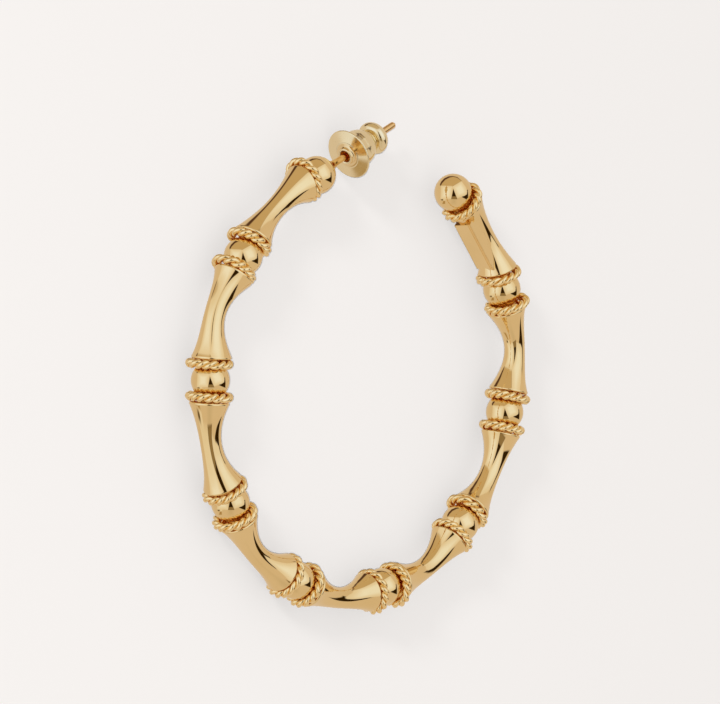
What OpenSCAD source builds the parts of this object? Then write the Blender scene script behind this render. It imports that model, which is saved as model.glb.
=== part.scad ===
// Open bamboo hoop earring, lying on its side, with twisted wire collars and a bell clutch.
// The hoop's plane is close to level, its mouth faces +Y, and the side that shows from above is its seen side.
// All sizes are in millimetres.

/* [Hoop] */
// Radius of the circle through the beads' centres
hoop_r = 26; // [24:0.5:30]
// Bamboo lengths round the hoop, with a bead at each end of each
length_count = 9; // [7:1:9]
// Angle from one bead to the next
bead_pitch = 33.9; // [33:0.1:34.5]

/* [Bamboo] */
// Diameter of the round beads
bead_d = 4.56; // [4.4:0.02:4.6]
// Diameter of a length at its flared ends
flare_d = 4.74; // [4.4:0.02:4.8]
// Diameter of a length at its waist
waist_d = 2.5; // [2:0.1:3]
// From a bead's centre to the flared end that faces it
flare_at = 2.53; // [2.52:0.01:2.9]
// Length of the soft rim on a flared end
rim_len = 0.2; // [0.1:0.05:0.4]
// How far the soft rim falls in from the flare's full width
rim_deep = 0.2; // [0.05:0.05:0.3]
// How full a length is between waist and flare: 1 is a parabola, and less makes the flare more sudden
flare_full = 0.94; // [0.8:0.02:1.4]
// Diameter of the plain neck that joins a bead to a flared end
neck_d = 2.5; // [2.2:0.1:2.6]
// How far each length's waist bows outward from its ends, from the post's end to the tail
bow = [-0.05, 0.8, 0.3, 0.5, 0.45, 0.5, 0.3, 0.8, 0];
// How far the free end springs out of the circle
tail_out = 0.25; // [0:0.05:0.4]

/* [Rope collars] */
// Outer diameter of a collar
collar_d = 5.66; // [5.4:0.02:5.7]
// Thickness of the two wires twisted together
rope_d = 1.1; // [1:0.02:1.24]
// From a bead's centre to the middle of a centred collar
collar_at = 1.92; // [1.85:0.01:2.05]
// Bulges of wire seen round one collar, an even number
rope_lobes = 14; // [12:2:22]
// How far each hand-set collar sits off its bead's axis: outward from the hoop, and towards the seen side
collar_shift = [
    [0.2, -0.15],
    [-0.05, -0.25], [0.15, -0.2],
    [0.15, -0.15], [0.05, 0],
    [0.1, 0.1], [0.15, -0.1],
    [0.15, 0], [-0.05, -0.2],
    [0.1, 0], [0.25, -0.05],
    [0.1, 0], [0.05, -0.25],
    [0, 0], [0, 0],
    [0, 0.25], [-0.15, 0.15],
    [-0.15, 0.1]
];

/* [Ear post] */
// Diameter of the post
post_d = 0.8; // [0.7:0.05:1]
// From the end bead's centre to the post's tip
post_tip = 15; // [12:0.1:16]
// How far the post turns out of the hoop's tangent
post_turn = 2; // [0:0.5:6]
// How far the post dips out of the hoop's plane, away from the seen side
post_dip = 2.5; // [0:0.5:4]
// Start of the grip groove, from the end bead's centre
groove_at = 5.45; // [5.2:0.05:5.6]
// Length of the grip groove
groove_len = 0.6; // [0.55:0.01:0.7]
// Depth of the grip groove
groove_deep = 0.08; // [0.04:0.01:0.1]

/* [Tail plate] */
// From the hoop's centre to the flat face of the plate
plate_at = 24; // [23.2:0.1:24.4]
// Width of the flat face
plate_w = 2.8; // [2:0.1:3]
// Width of the plate where it meets the waist
plate_root_w = 2.2; // [2:0.1:2.6]
// Length of the plate's flat face towards the tail ball, from the middle of its bamboo length
plate_up = 3.4; // [2:0.1:4]
// How far the plate's upper end is cut out of square, which leaves it longer on the seen side
plate_skew = 8; // [0:1:12]
// Length of the plate towards the next bead
plate_down = 3.7; // [3:0.1:4.4]

/* [Clutch] */
// From the end bead's centre to the clutch's widest edge
clutch_at = 6.06; // [5.8:0.02:6.3]
// Diameter of the front disc
disc_d = 6.1; // [5:0.1:6.2]
// Thickness of the disc's edge
disc_edge = 0.25; // [0.15:0.05:0.4]
// How far the top of the mouth's rolled lip stands in front of the edge
lip_rise = 0.72; // [0.5:0.02:0.72]
// Thickness of the rolled lip
lip_d = 0.34; // [0.2:0.02:0.4]
// Diameter of the mouth inside the lip
mouth_d = 1.44; // [1.2:0.04:1.6]
// Width of the hollow foot that joins the lip to the front's shallow cone
lip_foot = 0.6; // [0.2:0.05:0.8]
// How far the shallow cone stands in front of the edge where it meets the foot
cone_rise = 0.2; // [0.1:0.01:0.3]
// Depth of the mouth behind the edge
mouth_deep = 2; // [0.4:0.1:2.4]
// Diameter of the bore that grips the post
clutch_bore_d = 0.9; // [0.84:0.02:0.98]
// Diameter of the bell behind the disc
bell_d = 4.7; // [4:0.1:5]
// Diameter of the bell's rear end
bell_end_d = 2.7; // [2.4:0.1:3.2]
// From the edge to the bell's rear end
bell_len = 3.4; // [3:0.05:3.8]
// Diameter of the neck between bell and bulb
clutch_neck_d = 2.2; // [1.8:0.1:2.5]
// Diameter of the bulb
bulb_d = 4; // [3.6:0.1:4.2]
// From the edge to the bulb's widest place
bulb_at = 4.75; // [4.5:0.05:5]
// Length of the bulb's front half, back to the neck
bulb_front = 0.75; // [0.6:0.05:0.8]
// Length of the bulb's rear half
bulb_rear = 1.25; // [1:0.05:1.5]

/* [Hidden] */

bead_r = bead_d / 2;
flare_r = flare_d / 2;
waist_r = waist_d / 2;
neck_r = neck_d / 2;
post_r = post_d / 2;
rope_r = rope_d / 2;
collar_r = collar_d / 2;
rope_ring_r = collar_r - rope_r;
// The mouth is centred on +Y, so the first bead stands half a mouth past it
mouth_angle = 360 - length_count * bead_pitch;
first_bead = 90 + mouth_angle / 2;
post_angle = first_bead - 90 + post_turn;
first_bead_y = hoop_r * sin(first_bead);

// Sides of a bamboo length, its rings between the two rims, and how deep its neck reaches into a bead
length_sides = 16;
waist_rings = 6;
neck_start = 1.3;
// Wires in a rope, how deep the hollow between two of them is as a share of the rope's radius, rings along
// the rope for each lobe, and the twist that it starts with, which keeps the wires evenly off the bead
rope_wires = 2;
wire_hollow = 0.25;
rings_per_lobe = 4;
rope_phase = atan(collar_at / rope_ring_r) - 180 / rope_wires / rings_per_lobe;
// Straight steps in a drawn arc of the post and the clutch
arc_steps = 8;
edge_bevel = 0.1;

// The bead opposite the mouth
far_bead = floor(length_count / 2);
// The hoop rests on the edge of the clutch's disc and on the collars furthest from it, which reach a
// little less deep, so it leans by a small angle about X
disc_deep = disc_d / 2 * cos(post_dip) + (clutch_at + disc_edge) * sin(post_dip);
disc_y = first_bead_y + (clutch_at + disc_edge) * cos(post_dip) * sin(post_angle);
far_y = hoop_r * sin(bead_angle(far_bead)) + collar_at * cos(bead_angle(far_bead));
lean = asin((disc_deep - collar_r) / (disc_y - far_y));
// How deep each collar reaches below the hoop's centre once it leans, and the deepest of them and the disc
collar_depths = [
    for (n = [0:len(collar_shift) - 1])
        let (y = (hoop_r + collar_shift[n][0]) * sin(bead_angle(ceil(n / 2))))
            (collar_r - collar_shift[n][1]) * cos(lean) - y * sin(lean)
];
rest_z = max(max(collar_depths), disc_deep * cos(lean) - disc_y * sin(lean));
// Middle of the whole earring along Y, from the far collars to the post's tip
back_y = far_y - collar_r;
front_y = first_bead_y + post_tip * cos(post_dip) * sin(post_angle);
middle_y = (front_y + back_y) / 2;

function bead_angle(i) = first_bead + i * bead_pitch;
function bead_out(i) = i == length_count ? tail_out : 0;

// Rings of a length: angle round the hoop from its first bead, distance from the hoop's centre, turn of
// the ring's plane, and radius; the ends run straight out of their beads, and from rim to rim, where u goes
// from -1 to 1, the flares narrow to the waist while the middle bows out
function end_rings() = [
    for (e = [[neck_start, neck_r], [flare_at, neck_r], [flare_at, flare_r - rim_deep]])
        [atan(e[0] / hoop_r), norm([hoop_r, e[0]]), 0, e[1]]
];
function body_rings(waist_bow) = [
    for (n = [0:waist_rings + 1])
        let (
            end_angle = atan(flare_at / hoop_r),
            body_angle = bead_pitch - 2 * end_angle,
            rim_share = rim_len / (hoop_r * body_angle * PI / 180),
            u = 2 * n / (waist_rings + 1) - 1,
            share = (1 + u * (1 - 2 * rim_share)) / 2,
            fullness = flare_full * u * u + (1 - flare_full) * pow(u, 4)
        )
            [
                end_angle + share * body_angle,
                norm([hoop_r, flare_at]) + waist_bow * pow(1 - pow(2 * share - 1, 2), 2),
                share * bead_pitch,
                waist_r + (flare_r - waist_r) * fullness
            ]
];
function length_rings(waist_bow) = concat(
    end_rings(),
    body_rings(waist_bow),
    [for (n = [2:-1:0]) let (e = end_rings()[n]) [bead_pitch - e[0], e[1], bead_pitch, e[3]]]
);

// Points of a ring with its centre at angle a and distance c, its plane turned to angle p, and radius r
function ring_points(a, c, p, r) = [
    for (k = [0:length_sides - 1])
        let (w = 360 * k / length_sides, out = r * cos(w))
            [c * cos(a) + out * cos(p), c * sin(a) + out * sin(p), r * sin(w)]
];

// Faces of a tube of rings: two triangles for each side of each step, and flat ends where it is open
function tube_faces(rings, sides, closed) = concat(
    [
        for (j = [0:rings - (closed ? 1 : 2)], k = [0:sides - 1])
            let (j2 = (j + 1) % rings, k2 = (k + 1) % sides)
                each [
                    [j * sides + k, j * sides + k2, j2 * sides + k],
                    [j * sides + k2, j2 * sides + k2, j2 * sides + k]
                ]
    ],
    closed ? [] : [
        [for (k = [sides - 1:-1:0]) k],
        [for (k = [0:sides - 1]) (rings - 1) * sides + k]
    ]
);

// Points along an ellipse about a centre, from angle a0 to a1
function arc_points(centre, rx, ry, a0, a1) = [
    for (n = [0:arc_steps])
        let (a = a0 + (a1 - a0) * n / arc_steps)
            [centre[0] + rx * cos(a), centre[1] + ry * sin(a)]
];

// Lays the earring on its side, with its middle over the origin and its lowest edge on the floor
module laid() {
    translate([0, -middle_y, rest_z])
        rotate([lean, 0, 0])
            children();
}

module at_bead_post() {
    rotate([0, 0, first_bead])
        translate([hoop_r, 0, 0])
            rotate([0, 0, post_angle - first_bead])
                rotate([0, 90 + post_dip, 0])
                    children();
}

module bamboo_length(i) {
    rings = length_rings(bow[i]);
    points = [
        for (g = rings)
            let (out = bead_out(i + 1) * g[0] / bead_pitch)
                each ring_points(bead_angle(i) + g[0], g[1] + out, bead_angle(i) + g[2], g[3])
    ];
    polyhedron(points, tube_faces(len(rings), length_sides, false));
}

module bead(i) {
    rotate([0, 0, bead_angle(i)])
        translate([hoop_r + bead_out(i), 0, 0])
            sphere(d = bead_d, $fn = 48);
}

// The bar starts longer than its flat face, and its upper end is cut along the collar that it stops at
module tail_plate() {
    tail_middle = bead_angle(length_count - 0.5);
    root_x = hoop_r + bow[length_count - 1] - waist_r / 3;
    cut_len = 2 * plate_w;
    rotate([0, 0, tail_middle])
        difference() {
            translate([0, plate_up + cut_len / 2, 0])
                rotate([90, 0, 0])
                    linear_extrude(height = plate_up + cut_len / 2 + plate_down)
                        polygon([
                            [root_x, -plate_root_w / 2],
                            [root_x, plate_root_w / 2],
                            [plate_at + edge_bevel, plate_w / 2],
                            [plate_at, plate_w / 2 - edge_bevel],
                            [plate_at, edge_bevel - plate_w / 2],
                            [plate_at + edge_bevel, -plate_w / 2]
                        ]);
            translate([plate_at, plate_up, 0])
                rotate([-plate_skew, 0, bead_pitch / 2])
                    translate([-cut_len, 0, -cut_len])
                        cube(2 * cut_len);
        }
}

// The grip groove is an arc of a circle that crosses the post's wall at the groove's two ends
module ear_post() {
    groove_r = (groove_len * groove_len / 4 + groove_deep * groove_deep) / (2 * groove_deep);
    groove_half = asin(groove_len / 2 / groove_r);
    groove_centre = [post_r - groove_deep + groove_r, groove_at + groove_len / 2];
    rotate_extrude($fn = 32)
        polygon(concat(
            [[0, 0], [post_r, 0]],
            arc_points(groove_centre, groove_r, groove_r, 180 + groove_half, 180 - groove_half),
            arc_points([0, post_tip - post_r], post_r, post_r, 0, 90)
        ));
}

module bamboo_hoop() {
    color("goldenrod")
        laid() {
            for (i = [0:length_count])
                bead(i);
            for (i = [0:length_count - 1])
                bamboo_length(i);
            tail_plate();
            at_bead_post()
                ear_post();
        }
}

// Wires twisted left-handed in a ring. The rope's outline has a corner on each wire and one in each hollow.
module rope_ring(phase) {
    sections = rope_lobes * rings_per_lobe;
    corners = 2 * rope_wires;
    points = [
        for (j = [0:sections - 1], k = [0:corners - 1])
            let (
                a = 360 * j / sections,
                twist = phase + 360 / rope_wires * j / rings_per_lobe + 360 * k / corners,
                deep = k % 2 == 0 ? rope_r : rope_r * (1 - wire_hollow),
                out = rope_ring_r + deep * cos(twist)
            )
                [out * cos(a), out * sin(a), deep * sin(twist)]
    ];
    polyhedron(points, tube_faces(sections, corners, true));
}

// A collar seats on its bead, so one that is far off the bead's axis stands further along it
function collar_seat(shift) =
    let (near = rope_ring_r - norm(shift))
        max(collar_at, sqrt(pow(bead_r + rope_r, 2) - near * near));

// Collar n stands after bead n / 2 when n is even and before it when n is odd
module collar(n) {
    near_bead = ceil(n / 2);
    side = n % 2 == 0 ? 1 : -1;
    shift = collar_shift[n];
    color("gold")
        laid()
            rotate([0, 0, bead_angle(near_bead)])
                translate([hoop_r + bead_out(near_bead) + shift[0], side * collar_seat(shift), shift[1]])
                    rotate([-90, 0, 0])
                        rope_ring(side * rope_phase);
}

// The clutch's outline runs from its mouth over lip, foot, cone, edge, bell and bulb to the rear of its bore
module clutch() {
    disc_r = disc_d / 2;
    mouth_r = mouth_d / 2;
    bore_r = clutch_bore_d / 2;
    lip_r = lip_d / 2;
    foot_r = mouth_r + lip_d + lip_foot;
    cone_slope = cone_rise / (disc_r - foot_r);
    bell_r = bell_d / 2;
    bell_end_r = bell_end_d / 2;
    bell_round = bell_r - bell_end_r;
    bulb_r = bulb_d / 2;
    outline = concat(
        [[mouth_r, mouth_deep]],
        arc_points([mouth_r + lip_r, lip_r - lip_rise], lip_r, lip_r, 180, 345),
        arc_points([foot_r, lip_r - lip_rise], lip_foot, lip_rise - lip_r - cone_rise, 180, 90),
        [[disc_r - edge_bevel, -edge_bevel * cone_slope], [disc_r, edge_bevel]],
        [[disc_r, disc_edge], [bell_r, disc_edge + edge_bevel], [bell_r - edge_bevel, bell_len - 2 * bell_round]],
        arc_points([bell_end_r, bell_len - 2 * bell_round], bell_round - edge_bevel, 2 * bell_round, 0, 90),
        [[clutch_neck_d / 2, bell_len], [clutch_neck_d / 2, bulb_at - bulb_front]],
        arc_points([clutch_neck_d / 2, bulb_at], bulb_r - clutch_neck_d / 2, bulb_front, -90, 0),
        arc_points([bore_r, bulb_at], bulb_r - bore_r, bulb_rear, 0, 90),
        [[bore_r, mouth_deep]]
    );
    color("khaki")
        laid()
            at_bead_post()
                translate([0, 0, clutch_at])
                    rotate_extrude($fn = 48)
                        polygon(outline);
}

bamboo_hoop();
clutch();
collar(0);  // collar_01
collar(1);  // collar_02
collar(2);  // collar_03
collar(3);  // collar_04
collar(4);  // collar_05
collar(5);  // collar_06
collar(6);  // collar_07
collar(7);  // collar_08
collar(8);  // collar_09
collar(9);  // collar_10
collar(10);  // collar_11
collar(11);  // collar_12
collar(12);  // collar_13
collar(13);  // collar_14
collar(14);  // collar_15
collar(15);  // collar_16
collar(16);  // collar_17
collar(17);  // collar_18
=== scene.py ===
"""Looks of the open bamboo hoop earring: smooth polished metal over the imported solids, on a pale floor.

Lengths are in millimetres and angles in degrees, in the hoop's own frame: its circle lies in XY, its mouth
faces +Y and the seen side is +Z. laid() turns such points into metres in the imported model's frame.
"""

import bpy
import numpy as np
from mathutils import Matrix, Vector


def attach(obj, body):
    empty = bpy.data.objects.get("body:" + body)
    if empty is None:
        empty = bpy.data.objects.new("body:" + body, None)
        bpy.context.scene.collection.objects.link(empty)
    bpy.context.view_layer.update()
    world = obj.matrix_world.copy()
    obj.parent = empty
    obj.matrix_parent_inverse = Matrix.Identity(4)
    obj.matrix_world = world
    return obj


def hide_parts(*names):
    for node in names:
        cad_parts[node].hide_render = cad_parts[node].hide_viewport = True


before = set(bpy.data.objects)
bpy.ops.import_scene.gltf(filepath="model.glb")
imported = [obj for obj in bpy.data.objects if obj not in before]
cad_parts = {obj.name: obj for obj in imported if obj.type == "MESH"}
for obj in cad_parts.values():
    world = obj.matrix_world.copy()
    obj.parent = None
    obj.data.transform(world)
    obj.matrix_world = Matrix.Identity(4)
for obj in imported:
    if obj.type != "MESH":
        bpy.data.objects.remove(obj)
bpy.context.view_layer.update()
UP = np.array([0, 0, 1.0])

# Circle through the beads' centres, the bamboo lengths on it, and the angle from bead to bead
HOOP_R = 26.0
LENGTHS = 9
PITCH = 33.9
FIRST_BEAD = 90 + (360 - LENGTHS * PITCH) / 2
# The free end's bead springs out of the circle by this much
TAIL_OUT = 0.25

# Radii of bead, flared end, waist and neck, and the distance from a bead to the flare that faces it
BEAD_R = 2.28
FLARE_R = 2.37
WAIST_R = 1.25
NECK_R = 1.25
NECK_START = 1.3
FLARE_AT = 2.53
# Soft rim of a flare, its length and depth, and how full a length is between waist and flare, where 1 is a
# parabola and less makes the flare more sudden
RIM_LEN = 0.2
RIM_DEEP = 0.2
FLARE_FULL = 0.94
# How far each waist bows outward, from the post's end to the tail
BOW = [-0.05, 0.8, 0.3, 0.5, 0.45, 0.5, 0.3, 0.8, 0.0]

# Rope collars: radius of the rope's middle line, of the rope, and of one of its two wires
ROPE_RING_R = 2.28
ROPE_R = 0.56
ROPE_WIRES = 2
WIRE_R = 0.3
# Bulges of wire seen round a collar, the angle where the twist starts, and how far it sways
ROPE_LOBES = 14
ROPE_PHASE = 18
ROPE_SWAY = 18
# Sines of that sway: waves round the ring, height, and shift in radians from collar to collar and from wire
# to wire
SWAY_WAVES = [(2, 1.0, 1.7, 0), (5, 0.6, 2.9, 1)]
COLLAR_AT = 1.92
# How far each collar sits off its bead's axis: outward from the hoop, and towards the seen side
COLLAR_SHIFT = [
    (0.2, -0.15),
    (-0.05, -0.25), (0.15, -0.2),
    (0.15, -0.15), (0.05, 0.0),
    (0.1, 0.1), (0.15, -0.1),
    (0.15, 0.0), (-0.05, -0.2),
    (0.1, 0.0), (0.25, -0.05),
    (0.1, 0.0), (0.05, -0.25),
    (0.0, 0.0), (0.0, 0.0),
    (0.0, 0.25), (-0.15, 0.15),
    (-0.15, 0.1),
]

# Ear post: radius, tip, turn out of the tangent, dip out of the hoop's plane, grip groove, solder fillet
POST_R = 0.4
POST_TIP = 15.0
POST_TURN = 2.0
POST_DIP = 2.5
GROOVE_AT = 5.45
GROOVE_LEN = 0.6
GROOVE_DEEP = 0.08
POST_FILLET = 2.4

# Tail plate: distance of its flat face from the hoop's centre, widths, reach along the last length, and
# how far its upper end is cut out of square
PLATE_AT = 24.0
PLATE_W = 2.8
PLATE_ROOT_W = 2.2
PLATE_UP = 3.4
PLATE_DOWN = 3.7
PLATE_SKEW = 8
# Width of its rounded edges, and how far in from its upper end that end's painted shade reaches
PLATE_BEVEL = 0.08
STRIP_LEN = 0.12
# Places across the face, width and depth of the two fine lines that set off its border
LINES_AT = [0.95, 1.22]
LINE_W = 0.13
LINE_DEEP = 0.18

# Clutch: where its widest edge stands on the post, then radii and distances behind that edge
CLUTCH_AT = 6.06
DISC_R = 3.05
DISC_EDGE = 0.25
LIP_RISE = 0.72
LIP_R = 0.17
LIP_FOOT = 0.6
CONE_RISE = 0.2
MOUTH_R = 0.72
MOUTH_DEEP = 2.0
CLUTCH_BORE_R = 0.45
BELL_R = 2.35
BELL_END_R = 1.35
BELL_LEN = 3.4
BELL_CORNER = 0.08
BELL_TAPER = 0.1
CLUTCH_NECK_R = 1.1
BULB_R = 2.0
BULB_AT = 4.75
BULB_FRONT = 0.75
BULB_REAR = 1.25

# How the hoop lies on the floor, as the part's source works it out: its lean, its shift along Y, and its lift
LEAN = 0.5467
MIDDLE_Y = 1.0902
REST_Z = 3.2667

# Painted shade in the crevices, where the metal lies in shade. Each pair tells where it starts and where
# it is full: along a bead from its centre, as shares of its radius; along the post from its bead's centre;
# outward from the middle of a rope; and along the clutch's mouth from its widest edge
BEAD_SHADE = (0.55, 0.7)
POST_SHADE = (3.9, 3.3)
ROPE_CORE_SHADE = (0.3, 0.12)
MOUTH_SHADE = (-0.36, 0.2)
# How far the painted shade takes to grow down a flare's wall from the rim, and from a rope's middle to the
# ring's inside
WALL_SHADE = 0.3
ROPE_INNER_SHADE = 0.35
# Least radius of the painted shade in the foot of the clutch's lip
FOOT_SHADE_R = 1.0
# How dark the painted shade gets on the post and on the clutch
POST_DARK = 0.8
CLUTCH_DARK = 0.35

# Steps along each form and sides round it. A wire's steps are for each bulge
BEAD_STEPS = 44
BEAD_SIDES = 72
RIM_STEPS = 14
LENGTH_STEPS = 33
LENGTH_SIDES = 96
POST_SIDES = 48
CLUTCH_SIDES = 144
WIRE_STEPS = 18
WIRE_SIDES = 16
# Angle from its axis where a bead's first ring lies, and how much a length's rings crowd towards its rims
BEAD_POLE = 2
CROWDING = 1.2

# The camera's right, up and backward directions, and its place along them
CAMERA_AXES = np.array([
    [0.6787, 0.1149, 0.7254],
    [-0.0778, 0.9934, -0.0845],
    [-0.7303, 0.0009, 0.6832],
])
CAMERA_AT = np.array([-0.37475, 2.95234, 855.5])
# Its lens and sensor, and the nearest and farthest that it sees
CAMERA_LENS = 358.2
CAMERA_SENSOR = 36.0
CAMERA_NEAR = 50
CAMERA_FAR = 20000
# Light is passed on often between bead, rope and flare before it leaves their crevices
LIGHT_BOUNCES = 24

# Metals: pale tone, deep tone, roughness, and height of the slow swell of the surface
METALS = {
    "hoop_gold": ((0.91, 0.70, 0.36), (0.88, 0.67, 0.33), 0.045, 0.012),
    "rope_gold": ((0.97, 0.76, 0.40), (0.93, 0.71, 0.35), 0.06, 0.004),
    "clutch_gold": ((0.92, 0.80, 0.52), (0.89, 0.76, 0.47), 0.115, 0.004),
    "post_gold": ((0.90, 0.62, 0.30), (0.87, 0.59, 0.27), 0.09, 0.002),
}
# Orange-brown painted shade that darkens the metal in its crevices
PAINTED_SHADE = (0.78, 0.49, 0.16)
# Scales of the drift of the tone, the rubbed patches, the slow swell and the fine marks, in repeats to the
# metre, then the height of the marks, and how far the patches change the roughness. Tone and roughness
# change over these spans of a noise's height
DRIFT_SCALE = 260.0
RUBBED_SCALE = 900.0
SWELL_SCALE = 420.0
MARKS_SCALE = 9000.0
MARKS_DEEP = 0.0002
RUBBED_SHARE = 0.3
DRIFT_SPAN = (0.35, 0.65)
RUBBED_SPAN = (0.3, 0.7)


def lean_turn():
    """Turn about X by the lean."""
    c, s = np.cos(np.radians(LEAN)), np.sin(np.radians(LEAN))
    return np.array([[1, 0, 0], [0, c, -s], [0, s, c]])


def laid(points):
    """Leans points about X, sets them on the floor, and turns millimetres into metres."""
    return (np.asarray(points, float) @ lean_turn().T + [0, -MIDDLE_Y, REST_Z]) / 1000


def polar(angle, distance=1.0):
    """Point of the hoop's plane at that angle and distance from its centre."""
    angle = np.radians(np.asarray(angle, float))
    return np.stack([distance * np.cos(angle), distance * np.sin(angle), 0 * angle], -1)


def bead_angle(i):
    """Angle of bead i round the hoop's centre."""
    return FIRST_BEAD + i * PITCH


def bead_out(i):
    """How far bead i stands out of the circle, which only the free end's does."""
    return TAIL_OUT if i == LENGTHS else 0.0


def placed(points, at, out, along):
    """Turns points so that their X runs out and their Z along, and moves them there."""
    return points @ np.stack([out, np.cross(along, out), along]) + at


def arc(centre, rx, ry, a0, a1, steps=12):
    """Points of an ellipse about a centre: x = rx cos a, y = ry sin a, from angle a0 to a1. Arcs that would
    share a point leave a few degrees between them."""
    a = np.radians(np.linspace(a0, a1, steps + 1))
    return np.stack([centre[0] + rx * np.cos(a), centre[1] + ry * np.sin(a)], -1)


def line(start, end, steps=4):
    """Even points from start to end, without either."""
    return np.linspace(start, end, steps + 2)[1:-1]


def turns(sides):
    """Even angles once round, in radians."""
    return np.linspace(0, 2 * np.pi, sides, endpoint=False)


def spun(profile, sides):
    """Rings of a profile of (radius, height) carried round Z: (r cos w, r sin w, height)."""
    w = turns(sides)
    r, z = profile[:, 0, None], profile[:, 1, None]
    return np.stack([r * np.cos(w), r * np.sin(w), z + 0 * w], -1)


def ease(x, start, end):
    """Smooth step of x: 0 at start, 1 at end, and 3 s s - 2 s s s between them. Either may be the larger."""
    s = np.clip((x - start) / (end - start), 0, 1)
    return s * s * (3 - 2 * s)


def outward(points, quads, fans, deep):
    """Turns every face over if the closed shell's signed volume is below zero."""
    a, b, c, d = (points[quads[:, n]] for n in range(4))
    volume = np.sum(a * np.cross(b, c)) + np.sum(a * np.cross(c, d))
    if len(fans):
        a, b, c = (points[fans[:, n]] for n in range(3))
        volume += np.sum(a * np.cross(b, c))
    return (points, quads, fans, deep) if volume > 0 else (points, quads[:, ::-1], fans[:, ::-1], deep)


def shell(rings, looped=False, deep=0.0):
    """Closed shell of rings of points: quads from ring to ring, and a fan to the middle of each end ring
    unless the rings run on from the last to the first. deep tells how far in a crevice each point lies,
    which sets its painted shade."""
    rows, sides = rings.shape[:2]
    deep = np.broadcast_to(deep, (rows, sides))
    j = np.arange(rows if looped else rows - 1)[:, None]
    k = np.arange(sides)[None, :]
    j2, k2 = (j + 1) % rows, (k + 1) % sides
    corners = [j * sides + k, j2 * sides + k, j2 * sides + k2, j * sides + k2]
    quads = np.stack(np.broadcast_arrays(*corners), -1).reshape(-1, 4)
    points = rings.reshape(-1, 3)
    if looped:
        return outward(points, quads, np.zeros((0, 3), int), deep.ravel())
    k, k2 = k[0], k2[0]
    first, last = rows * sides, rows * sides + 1
    fans = np.concatenate([
        np.stack([0 * k + first, k, k2], -1),
        np.stack([0 * k + last, (rows - 1) * sides + k2, (rows - 1) * sides + k], -1),
    ])
    points = np.concatenate([points, [rings[0].mean(0), rings[-1].mean(0)]])
    return outward(points, quads, fans, np.append(deep, [deep[0, 0], deep[-1, 0]]))


def piece(name, shells, body, material, nodes):
    """One smooth piece of closed shells that rides on a body and stands for CAD nodes."""
    starts = np.cumsum([0] + [len(s[0]) for s in shells[:-1]])
    faces = []
    for start, (_, quads, fans, _) in zip(starts, shells):
        faces += (quads + start).tolist() + (fans + start).tolist()
    mesh = bpy.data.meshes.new(name)
    mesh.from_pydata(laid(np.concatenate([s[0] for s in shells])).tolist(), [], faces)
    mesh.shade_smooth()
    # Painted shade: how deep in a crevice each point lies, which darkens its colour
    crevice = mesh.attributes.new("crevice", "FLOAT", "POINT")
    crevice.data.foreach_set("value", np.concatenate([s[3] for s in shells]))
    mesh.materials.append(material)
    made = bpy.data.objects.new(name, mesh)
    bpy.context.scene.collection.objects.link(made)
    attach(made, body)
    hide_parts(*nodes)
    return made


def bead(i):
    """Sphere about a bead's centre, with its poles along the hoop and painted shade round each pole that
    faces a collar."""
    a = np.radians(np.linspace(BEAD_POLE, 180 - BEAD_POLE, BEAD_STEPS + 1))
    ball = spun(np.stack([BEAD_R * np.sin(a), BEAD_R * np.cos(a)], -1), BEAD_SIDES)
    at = polar(bead_angle(i), HOOP_R + bead_out(i))
    before, after = i > 0, i < LENGTHS
    # Painted shade round each pole that meets a collar
    deep = after * ease(np.cos(a), *BEAD_SHADE) + before * ease(-np.cos(a), *BEAD_SHADE)
    return shell(placed(ball, at, polar(bead_angle(i)), polar(bead_angle(i) + 90)), deep=deep[:, None])


def bamboo_length(i):
    """Rings from bead to bead. Along the arc between the flares, at share s with u = 2 s - 1, the middle
    bows out by bow (1 - u u) squared. Between the rims the radius is waist + (flare - waist) (full u u +
    (1 - full) u u u u), with u = 1 where each soft elliptic rim falls as steeply as the flare. Each ring's
    plane turns with s. Inside the flares a flat wall drops to the straight neck."""
    end_angle = np.degrees(np.arctan(FLARE_AT / HOOP_R))
    span = np.radians(PITCH - 2 * end_angle) * HOOP_R
    steep = (4 - 2 * FLARE_FULL) * (FLARE_R - WAIST_R) / (span / 2 - RIM_LEN)
    rim_end = np.degrees(np.arctan2(RIM_DEEP, RIM_LEN * steep))
    rim = arc((RIM_LEN, FLARE_R - RIM_DEEP), RIM_LEN, RIM_DEEP, 180, rim_end, RIM_STEPS)
    d = rim[-1, 0] + (span / 2 - rim[-1, 0]) * np.linspace(0, 1, LENGTH_STEPS + 1) ** CROWDING
    u = (span / 2 - d) / (span / 2 - rim[-1, 0])
    full = FLARE_FULL * u ** 2 + (1 - FLARE_FULL) * u ** 4
    body = np.stack([d, WAIST_R + (rim[-1, 1] - WAIST_R) * full], -1)
    inner = (NECK_START - FLARE_AT, NECK_R)
    wall = line((0, NECK_R), rim[0], 3)
    half = np.concatenate([[inner], line(inner, (0, NECK_R), 3), [(0, NECK_R)], wall, rim, body[1:]])
    d, r = half.T
    # Painted shade down the flare's wall, from its rim towards the neck
    deep = ease(rim[0, 1] - r, 0, WALL_SHADE) * (d <= 0)
    share = np.maximum(d, 0) / span
    angle = np.degrees(np.arctan((FLARE_AT + np.minimum(d, 0)) / HOOP_R)) + share * (PITCH - 2 * end_angle)
    far = np.hypot(HOOP_R, FLARE_AT + np.minimum(d, 0)) + BOW[i] * (1 - (2 * share - 1) ** 2) ** 2
    plane = share * PITCH
    # The second half is the first one mirrored
    angle = np.concatenate([angle, (PITCH - angle)[-2::-1]])
    plane = np.concatenate([plane, (PITCH - plane)[-2::-1]]) + bead_angle(i)
    far = np.concatenate([far, far[-2::-1]]) + bead_out(i + 1) * angle / PITCH
    r = np.concatenate([r, r[-2::-1]])[:, None, None]
    deep = np.concatenate([deep, deep[-2::-1]])[:, None]
    w = turns(LENGTH_SIDES)[None, :, None]
    middle = polar(bead_angle(i) + angle, far)[:, None]
    rings = middle + r * np.cos(w) * polar(plane)[:, None] + r * np.sin(w) * UP
    return shell(rings, deep=deep)


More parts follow.
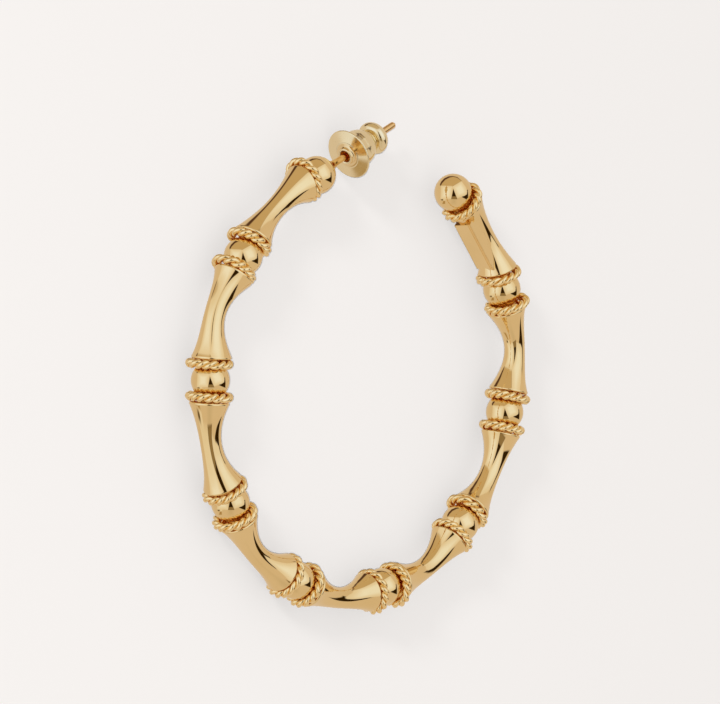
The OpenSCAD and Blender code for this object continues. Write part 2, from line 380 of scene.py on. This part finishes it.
def post_frame():
    """Where the post starts, its own X, and its direction."""
    angle = FIRST_BEAD - 90 + POST_TURN
    dip = np.radians(POST_DIP)
    along = np.cos(dip) * polar(angle) - np.sin(dip) * UP
    out = -np.sin(dip) * polar(angle) - np.cos(dip) * UP
    return polar(FIRST_BEAD, HOOP_R), out, along


def ear_post():
    """Straight pin spun round its axis, with a solder fillet on its bead, a shallow grip groove whose
    section is a circle's arc, and a round tip. The fillet is darkened with painted shade."""
    fillet_r = POST_R + POST_FILLET
    fillet_at = np.sqrt((BEAD_R + POST_FILLET) ** 2 - fillet_r ** 2)
    touch = np.degrees(np.arctan2(fillet_at, fillet_r))
    groove_r = (GROOVE_LEN ** 2 / 4 + GROOVE_DEEP ** 2) / (2 * GROOVE_DEEP)
    half = np.degrees(np.arcsin(GROOVE_LEN / 2 / groove_r))
    groove_at = (POST_R - GROOVE_DEEP + groove_r, GROOVE_AT + GROOVE_LEN / 2)
    profile = np.concatenate([
        arc((fillet_r, fillet_at), POST_FILLET, POST_FILLET, 180 + touch, 180, 8),
        line((POST_R, fillet_at), (POST_R, GROOVE_AT), 6),
        arc(groove_at, groove_r, groove_r, 180 + half, 180 - half, 8),
        line((POST_R, GROOVE_AT + GROOVE_LEN), (POST_R, POST_TIP - POST_R), 12),
        arc((0, POST_TIP - POST_R), POST_R, POST_R, 0, 87, 10),
    ])
    # Painted shade on the fillet, where the post meets its bead
    deep = POST_DARK * ease(profile[:, 1], *POST_SHADE)
    at, out, along = post_frame()
    return shell(placed(spun(profile, POST_SIDES), at, out, along), deep=deep[:, None])


def clutch():
    """Outline spun round the post: mouth, rolled lip and its hollow foot, shallow cone, thin edge, bell,
    neck, bulb, and bore."""
    edge_r = DISC_EDGE / 2
    lip_at = (MOUTH_R + LIP_R, LIP_R - LIP_RISE)
    foot_at = (MOUTH_R + 2 * LIP_R + LIP_FOOT, LIP_R - LIP_RISE)
    foot = arc(foot_at, LIP_FOOT, LIP_RISE - LIP_R - CONE_RISE, 180, 90, 20)
    edge = arc((DISC_R - edge_r, edge_r), edge_r, edge_r, -80, 90, 12)
    bell_round = BELL_R - BELL_END_R
    outline = np.concatenate([
        [(MOUTH_R, MOUTH_DEEP)],
        line((MOUTH_R, MOUTH_DEEP), (MOUTH_R, LIP_R - LIP_RISE), 4),
        arc(lip_at, LIP_R, LIP_R, 180, 350, 20),
        foot,
        line(foot[-1], edge[0], 24),
        edge,
        line((DISC_R - edge_r, DISC_EDGE), (BELL_R, DISC_EDGE), 3),
        arc((BELL_R + BELL_CORNER, DISC_EDGE + BELL_CORNER), BELL_CORNER, BELL_CORNER, 270, 180, 4),
        line((BELL_R, DISC_EDGE + BELL_CORNER), (BELL_R - BELL_TAPER, BELL_LEN - 2 * bell_round), 6),
        arc((BELL_END_R, BELL_LEN - 2 * bell_round), bell_round - BELL_TAPER, 2 * bell_round, 0, 90, 24),
        line((BELL_END_R, BELL_LEN), (CLUTCH_NECK_R, BELL_LEN), 2),
        line((CLUTCH_NECK_R, BELL_LEN), (CLUTCH_NECK_R, BULB_AT - BULB_FRONT), 5),
        arc((CLUTCH_NECK_R, BULB_AT), BULB_R - CLUTCH_NECK_R, BULB_FRONT, -90, 0, 16),
        arc((CLUTCH_BORE_R, BULB_AT), BULB_R - CLUTCH_BORE_R, BULB_REAR, 3, 90, 20),
        line((CLUTCH_BORE_R, BULB_AT + BULB_REAR), (CLUTCH_BORE_R, MOUTH_DEEP), 8),
        [(CLUTCH_BORE_R, MOUTH_DEEP)],
    ])
    r, z = outline.T
    # Painted shade inside the mouth and in the hollow foot of the lip
    in_mouth = ease(z, *MOUTH_SHADE) * (r < MOUTH_R + LIP_R / 10)
    in_foot = ease(r, foot_at[0], foot_at[0] - LIP_FOOT / 2) * (r > FOOT_SHADE_R) * (z < 0)
    deep = CLUTCH_DARK * (in_mouth + in_foot)
    at, out, along = post_frame()
    turned = placed(spun(outline, CLUTCH_SIDES), at + CLUTCH_AT * along, out, along)
    return shell(turned, looped=True, deep=deep[:, None])


def wire(n, side, k):
    """Wire k of the rope of collar n. Its middle stands off the rope's by its offset, at a twist that
    grows by one wire's share of a turn for each lobe and sways by two slow sines, which start elsewhere on
    each collar. Its round section is square to its own run. Painted shade darkens it on the ring's inner side
    and where the wires meet."""
    a = turns(ROPE_LOBES * WIRE_STEPS)
    sway = sum(high * np.sin(waves * a + by_n * n + by_k * k) for waves, high, by_n, by_k in SWAY_WAVES)
    start = side * ROPE_PHASE + 360 / ROPE_WIRES * k
    twist = a * ROPE_LOBES / ROPE_WIRES + np.radians(start + ROPE_SWAY * sway)
    spoke = np.stack([np.cos(a), np.sin(a), 0 * a], -1)
    off = spoke * np.cos(twist)[:, None] + UP * np.sin(twist)[:, None]
    middle = spoke * ROPE_RING_R + off * (ROPE_R - WIRE_R)
    run = np.roll(middle, -1, 0) - np.roll(middle, 1, 0)
    run /= np.linalg.norm(run, axis=1, keepdims=True)
    across = np.cross(run, off)
    across /= np.linalg.norm(across, axis=1, keepdims=True)
    out = np.cross(across, run)
    w = turns(WIRE_SIDES)[None, :, None]
    skin = middle[:, None] + WIRE_R * (np.cos(w) * out[:, None] + np.sin(w) * across[:, None])
    # Painted shade: deep on the ring's inner side and where the wires meet
    inward = ROPE_RING_R - np.hypot(skin[..., 0], skin[..., 1])
    from_core = np.hypot(inward, skin[..., 2])
    return skin, np.maximum(ease(inward, 0, ROPE_INNER_SHADE), ease(from_core, *ROPE_CORE_SHADE))


def collar(n):
    """Two wires twisted left-handed. The ring seats on its bead, so one far off the bead's axis stands
    further along it."""
    near_bead, side = (n + 1) // 2, 1 if n % 2 == 0 else -1
    out, seen = COLLAR_SHIFT[n]
    near = ROPE_RING_R - np.hypot(out, seen)
    seat = max(COLLAR_AT, np.sqrt((BEAD_R + ROPE_R) ** 2 - near ** 2))
    spoke, tangent = polar(bead_angle(near_bead)), polar(bead_angle(near_bead) + 90)
    at = spoke * (HOOP_R + bead_out(near_bead) + out) + tangent * side * seat + seen * UP
    wires = [wire(n, side, k) for k in range(ROPE_WIRES)]
    return [shell(placed(skin, at, spoke, tangent), looped=True, deep=deep) for skin, deep in wires]


def tail_plate():
    """Bar whose section grows from its root in the waist to its flat face, with two fine lines sunk along
    the face. Its ends are cut square to the bar below and along the collar above, where a strip is darkened
    with painted shade, and a bevel rounds its edges."""
    root = HOOP_R + BOW[-1] - WAIST_R / 3
    lines = [
        (PLATE_AT + sunk, at + side * LINE_W / 2)
        for at in reversed(LINES_AT)
        for sunk, side in ((0, 1), (LINE_DEEP, 0), (0, -1))
    ]
    section = np.array([
        (root, -PLATE_ROOT_W / 2), (root, PLATE_ROOT_W / 2), (PLATE_AT, PLATE_W / 2), *lines,
        (PLATE_AT, -PLATE_W / 2),
    ])
    x, z = section.T
    top = PLATE_UP + (x - PLATE_AT) * np.tan(np.radians(PITCH / 2)) + z * np.tan(np.radians(PLATE_SKEW))
    reach = np.stack([0 * x - PLATE_DOWN, top - STRIP_LEN, top])
    middle = bead_angle(LENGTHS - 0.5)
    points = x[None, :, None] * polar(middle) + reach[..., None] * polar(middle + 90)
    points[..., 2] += z
    # Painted shade on the strip at the upper end
    return shell(points, deep=np.array([[0], [0], [1]]))


def add(tree, kind, *sockets, **inputs):
    """Adds a node to a tree. Its inputs are values or other nodes' sockets, in order or by name."""
    node = tree.nodes.new(kind)
    named = [(node.inputs[n], value) for n, value in enumerate(sockets)]
    named += [(node.inputs[name.replace("_", " ")], value) for name, value in inputs.items()]
    for socket, value in named:
        if isinstance(value, bpy.types.NodeSocket):
            tree.links.new(value, socket)
        else:
            socket.default_value = value
    return node


def mixed(tree, share, a, b):
    """Mix of two tones, a where the share is 0 and b where it is 1. A tone is a colour or a socket."""
    node = tree.nodes.new("ShaderNodeMix")
    node.data_type = "RGBA"
    tree.links.new(share, node.inputs["Factor"])
    for name, tone in (("A", a), ("B", b)):
        if isinstance(tone, tuple):
            node.inputs[name].default_value = (*tone, 1)
        else:
            tree.links.new(tone, node.inputs[name])
    return node.outputs["Result"]


def polished(name, pale, deep, roughness, swell_deep):
    """Polished metal. Its colour drifts between two near tones and is darkened by painted shade in the
    crevices, faint rubbed patches change its gloss, and a slow swell with fine polishing marks lifts its
    surface."""
    material = bpy.data.materials.new(name)
    material.use_nodes = True
    tree = material.node_tree
    shader = tree.nodes["Principled BSDF"]
    place = tree.nodes.new("ShaderNodeTexCoord").outputs["Object"]
    drift = add(tree, "ShaderNodeTexNoise", Vector=place, Scale=DRIFT_SCALE, Detail=3.0)
    tone = add(tree, "ShaderNodeValToRGB", Fac=drift.outputs["Fac"])
    for element, position, colour in zip(tone.color_ramp.elements, DRIFT_SPAN, (deep, pale)):
        element.position = position
        element.color = (*colour, 1)
    rubbed = add(tree, "ShaderNodeTexNoise", Vector=place, Scale=RUBBED_SCALE, Detail=5.0)
    gloss = add(tree, "ShaderNodeMapRange", Value=rubbed.outputs["Fac"],
                From_Min=RUBBED_SPAN[0], From_Max=RUBBED_SPAN[1],
                To_Min=roughness * (1 - RUBBED_SHARE), To_Max=roughness * (1 + RUBBED_SHARE))
    swell = add(tree, "ShaderNodeTexNoise", Vector=place, Scale=SWELL_SCALE, Detail=1.0)
    first = add(tree, "ShaderNodeBump", Height=swell.outputs["Fac"], Strength=1.0,
                Distance=swell_deep / 1000)
    marks = add(tree, "ShaderNodeTexNoise", Vector=place, Scale=MARKS_SCALE, Detail=2.0)
    second = add(tree, "ShaderNodeBump", Height=marks.outputs["Fac"], Strength=1.0,
                 Distance=MARKS_DEEP / 1000, Normal=first.outputs["Normal"])
    # Painted shade: the crevice attribute mixes the tone towards the dark shade colour
    crevice = tree.nodes.new("ShaderNodeAttribute")
    crevice.attribute_name = "crevice"
    shaded_tone = mixed(tree, crevice.outputs["Fac"], tone.outputs["Color"], PAINTED_SHADE)
    tree.links.new(shaded_tone, shader.inputs["Base Color"])
    tree.links.new(gloss.outputs["Result"], shader.inputs["Roughness"])
    tree.links.new(second.outputs["Normal"], shader.inputs["Normal"])
    shader.inputs["Metallic"].default_value = 1.0
    return material


def build_earring():
    """Every piece of the earring in its metal. Beads and lengths are two pieces, because together they pass
    200,000 triangles."""
    hoop_gold, rope_gold, clutch_gold, post_gold = (polished(name, *look) for name, look in METALS.items())
    beads = [bead(i) for i in range(LENGTHS + 1)]
    piece("round_beads", beads, "hoop", hoop_gold, ["bamboo_hoop"])
    lengths = [bamboo_length(i) for i in range(LENGTHS)]
    piece("bamboo_lengths", lengths, "hoop", hoop_gold, ["bamboo_hoop"])
    piece("straight_ear_post", [ear_post()], "hoop", post_gold, ["bamboo_hoop"])
    plate = piece("plain_tail_plate", [tail_plate()], "hoop", hoop_gold, ["bamboo_hoop"])
    edges = plate.modifiers.new("rounded edges", "BEVEL")
    edges.width = PLATE_BEVEL / 1000
    edges.segments = 4
    edges.harden_normals = True
    piece("bell_clutch", [clutch()], "clutch", clutch_gold, ["clutch"])
    for n in range(len(COLLAR_SHIFT)):
        piece(f"rope_collar_{n + 1:02d}", collar(n), "hoop", rope_gold, [f"collar_{n + 1:02d}"])


# Tones of the studio: open room, overhead card and its dark rim, a softbox's heart and border, the dark gap
# and its foot, the left softbox's foot, the shade under the softboxes, and the olive card
ROOM = (0.72, 0.615, 0.52)
CARD = (0.60, 0.465, 0.30)
RIM = (0.10, 0.05, 0.03)
HEART = (0.94, 1.02, 1.22)
BORDER = (0.84, 0.80, 0.78)
GAP = (0.03, 0.014, 0.0)
FOOT = (0.30, 0.22, 0.12)
CORNER = (0.12, 0.08, 0.03)
SEAT = (0.64, 0.55, 0.45)
OLIVE = (0.45, 0.31, 0.15)
# How far inside its edge a softbox reaches its heart's tone, in radii of the ball
HEART_IN = 0.25

# What the studio shows on a mirror ball of radius 1 seen by the camera, x to the right and y up, each over
# the ones before: name, tone by its edge, tone further inside, softness of the edge, corners anticlockwise
STUDIO = [
    ("shade under the softboxes", SEAT, SEAT, 0.12, [
        (-0.10, -0.62), (0.13, -0.62), (0.15, -0.30), (-0.08, -0.30),
    ]),
    ("dark rim of the card", RIM, RIM, 0.015, [
        (-0.69, 0.36), (0.0, 0.30), (0.46, 0.60), (0.22, 0.81), (0.0, 0.865),
        (-0.23, 0.855), (-0.46, 0.755), (-0.62, 0.59), (-0.695, 0.45),
    ]),
    ("overhead card", CARD, CARD, 0.02, [
        (-0.655, 0.36), (-0.06, 0.31), (0.44, 0.60), (0.21, 0.775), (0.0, 0.825), (-0.18, 0.785),
        (-0.41, 0.67), (-0.58, 0.49),
    ]),
    ("stand by the right softbox", GAP, GAP, 0.015, [
        (0.45, -0.25), (0.775, -0.40), (0.79, -0.14), (0.76, 0.16), (0.70, 0.10),
    ]),
    ("foot of the left softbox", CORNER, CORNER, 0.03, [
        (-0.67, -0.36), (-0.61, -0.43), (-0.535, -0.42), (-0.53, -0.365), (-0.60, -0.33),
    ]),
    ("olive card by its foot", OLIVE, OLIVE, 0.02, [
        (-0.585, -0.61), (-0.43, -0.61), (-0.44, -0.45), (-0.53, -0.45),
    ]),
    ("left softbox", BORDER, HEART, 0.03, [
        (-0.68, -0.355), (-0.10, -0.355), (-0.03, 0.31), (-0.10, 0.335), (-0.64, 0.365),
    ]),
    ("skirt of the left softbox", BORDER, BORDER, 0.02, [
        (-0.54, -0.34), (-0.525, -0.445), (-0.42, -0.43), (-0.40, -0.34),
    ]),
    ("right softbox", BORDER, HEART, 0.015, [
        (0.215, -0.31), (0.47, -0.225), (0.60, -0.18), (0.715, -0.10), (0.735, 0.06), (0.66, 0.28),
        (0.43, 0.595), (-0.045, 0.315), (0.02, 0.09),
    ]),
    ("gap between the softboxes", GAP, GAP, 0.012, [(0.0, 0.19), (-0.11, -0.36), (0.21, -0.36)]),
    ("foot of the gap", FOOT, FOOT, 0.02, [(-0.11, -0.36), (0.21, -0.36), (0.15, -0.22), (-0.07, -0.22)]),
]

# The floor's two tones, the scale of their drift in repeats to the metre, and how far the floor reaches
FLOOR_PALE = (0.905, 0.872, 0.848)
FLOOR_DEEP = (0.895, 0.862, 0.838)
PAPER_SCALE = 6.0
FLOOR_REACH = 3000
# The light on the floor: even room light, a lamp behind the camera and a faint sun. Their strength is the
# share of full light that they lay on the level floor. The sun's direction is along the camera's right, up
# and backward
ROOM_LIGHT = 0.26
LAMP_STRENGTH = 0.69
LAMP_BEHIND = 500
LAMP_R = 15
SUN_TOWARDS = (-0.3, 0.5, 1.0)
SUN_SPREAD = 10
SUN_STRENGTH = 0.06


def studio_axes():
    """The camera's right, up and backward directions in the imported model's frame."""
    return CAMERA_AXES @ lean_turn().T


def build_world():
    """World light worked out from the direction d. The ball's point that mirrors d to the camera is
    (d . right, d . up) / sqrt(2 + 2 d . back). Inside a softbox the distance to each edge is above zero.
    Mirrored light is the studio's, the camera sees a backdrop in the floor's tone, and all other light is
    the even room's."""
    world = bpy.data.worlds.new("studio")
    bpy.context.scene.world = world
    world.use_nodes = True
    tree = world.node_tree
    tree.nodes.clear()

    def maths(kind, *inputs):
        node = add(tree, "ShaderNodeMath", *inputs)
        node.operation = kind
        return node.outputs[0]

    def dot(a, b):
        node = add(tree, "ShaderNodeVectorMath", a, b)
        node.operation = "DOT_PRODUCT"
        return node.outputs["Value"]

    def eased(value, start, end):
        node = add(tree, "ShaderNodeMapRange", Value=value, From_Min=start, From_Max=end)
        node.interpolation_type = "SMOOTHSTEP"
        return node.outputs["Result"]

    way = tree.nodes.new("ShaderNodeTexCoord").outputs["Generated"]
    right, up, back = (dot(way, tuple(axis)) for axis in studio_axes())
    size = maths("SQRT", maths("MAXIMUM", maths("MULTIPLY_ADD", back, 2.0, 2.0), 1e-4))
    across, above = (maths("DIVIDE", part, size) for part in (right, up))
    ball = add(tree, "ShaderNodeCombineXYZ", across, above, 1.0).outputs[0]
    shown = ROOM
    for name, by_edge, inside_tone, soft, corners in STUDIO:
        inside = None
        for (x0, y0), (x1, y1) in zip(corners, corners[1:] + corners[:1]):
            run = np.hypot(x1 - x0, y1 - y0)
            off = dot(ball, ((y0 - y1) / run, (x1 - x0) / run, (x0 * y1 - x1 * y0) / run))
            inside = off if inside is None else maths("MINIMUM", inside, off)
        tone = by_edge
        if inside_tone != by_edge:
            tone = mixed(tree, eased(inside, 0.0, HEART_IN), by_edge, inside_tone)
        shown = mixed(tree, eased(inside, -soft, soft), shown, tone)
        shown.node.label = name
    path = tree.nodes.new("ShaderNodeLightPath")
    light = mixed(tree, path.outputs["Is Glossy Ray"], (ROOM_LIGHT, ROOM_LIGHT, ROOM_LIGHT), shown)
    light = mixed(tree, path.outputs["Is Camera Ray"], light, FLOOR_PALE)
    background = add(tree, "ShaderNodeBackground", light)
    out = tree.nodes.new("ShaderNodeOutputWorld")
    tree.links.new(background.outputs[0], out.inputs["Surface"])


def build_floor():
    """Flat pale floor with a faint paper tone. The metal mirrors the studio without it."""
    material = bpy.data.materials.new("pale_floor")
    material.use_nodes = True
    tree = material.node_tree
    shader = tree.nodes["Principled BSDF"]
    place = tree.nodes.new("ShaderNodeTexCoord").outputs["Object"]
    paper = add(tree, "ShaderNodeTexNoise", Vector=place, Scale=PAPER_SCALE, Detail=1.0)
    tone = add(tree, "ShaderNodeValToRGB", paper.outputs["Fac"])
    tone.color_ramp.elements[0].color = (*FLOOR_DEEP, 1)
    tone.color_ramp.elements[1].color = (*FLOOR_PALE, 1)
    tree.links.new(tone.outputs["Color"], shader.inputs["Base Color"])
    shader.inputs["Roughness"].default_value = 1.0
    shader.inputs["Specular IOR Level"].default_value = 0.0
    mesh = bpy.data.meshes.new("floor")
    far = FLOOR_REACH / 1000
    mesh.from_pydata([(-far, -far, 0), (far, -far, 0), (far, far, 0), (-far, far, 0)], [], [(0, 1, 2, 3)])
    mesh.materials.append(material)
    floor = bpy.data.objects.new("floor", mesh)
    floor.visible_glossy = False
    bpy.context.scene.collection.objects.link(floor)


def link_lamp(name, light):
    """Puts a lamp that the metal doesn't mirror into the scene."""
    lamp = bpy.data.objects.new(name, light)
    lamp.visible_glossy = False
    bpy.context.scene.collection.objects.link(lamp)
    return lamp


def build_lamp():
    """Round lamp well behind the camera, so that each piece hides its own shadow. Its light doesn't weaken
    with distance, which keeps the floor even. Its power is 4 pi pi strength / (height of its direction)."""
    back = studio_axes()[2]
    light = bpy.data.lights.new("lamp behind the camera", "POINT")
    light.energy = 4 * np.pi ** 2 * LAMP_STRENGTH / back[2]
    light.shadow_soft_size = LAMP_R / 1000
    light.use_nodes = True
    tree = light.node_tree
    even = add(tree, "ShaderNodeLightFalloff", Strength=1.0)
    tree.links.new(even.outputs["Constant"], tree.nodes["Emission"].inputs["Strength"])
    lamp = link_lamp("lamp behind the camera", light)
    lamp.location = laid(CAMERA_AXES.T @ CAMERA_AT) + LAMP_BEHIND / 1000 * back


def build_sun():
    """Faint soft sun from the upper left, whose power is strength pi / (height of its direction)."""
    towards = Vector(np.array(SUN_TOWARDS) @ studio_axes()).normalized()
    light = bpy.data.lights.new("faint sun", "SUN")
    light.energy = SUN_STRENGTH * np.pi / towards.z
    light.angle = np.radians(SUN_SPREAD)
    link_lamp("faint sun", light).rotation_euler = towards.to_track_quat("Z", "Y").to_euler()


def build_camera():
    """Camera at its place, the plain view of its colours, and enough bounces of light for the metal."""
    camera = bpy.data.cameras.new("camera")
    camera.lens = CAMERA_LENS
    camera.sensor_width = CAMERA_SENSOR
    camera.clip_start = CAMERA_NEAR / 1000
    camera.clip_end = CAMERA_FAR / 1000
    seat = bpy.data.objects.new("camera", camera)
    place = np.eye(4)
    place[:3, :3] = studio_axes().T
    place[:3, 3] = laid(CAMERA_AXES.T @ CAMERA_AT)
    seat.matrix_world = Matrix(place.tolist())
    scene = bpy.context.scene
    scene.collection.objects.link(seat)
    scene.camera = seat
    scene.view_settings.view_transform = "Standard"
    scene.cycles.max_bounces = LIGHT_BOUNCES
    scene.cycles.glossy_bounces = LIGHT_BOUNCES
    scene.cycles.caustics_reflective = False


build_earring()
build_world()
build_floor()
build_lamp()
build_sun()
build_camera()
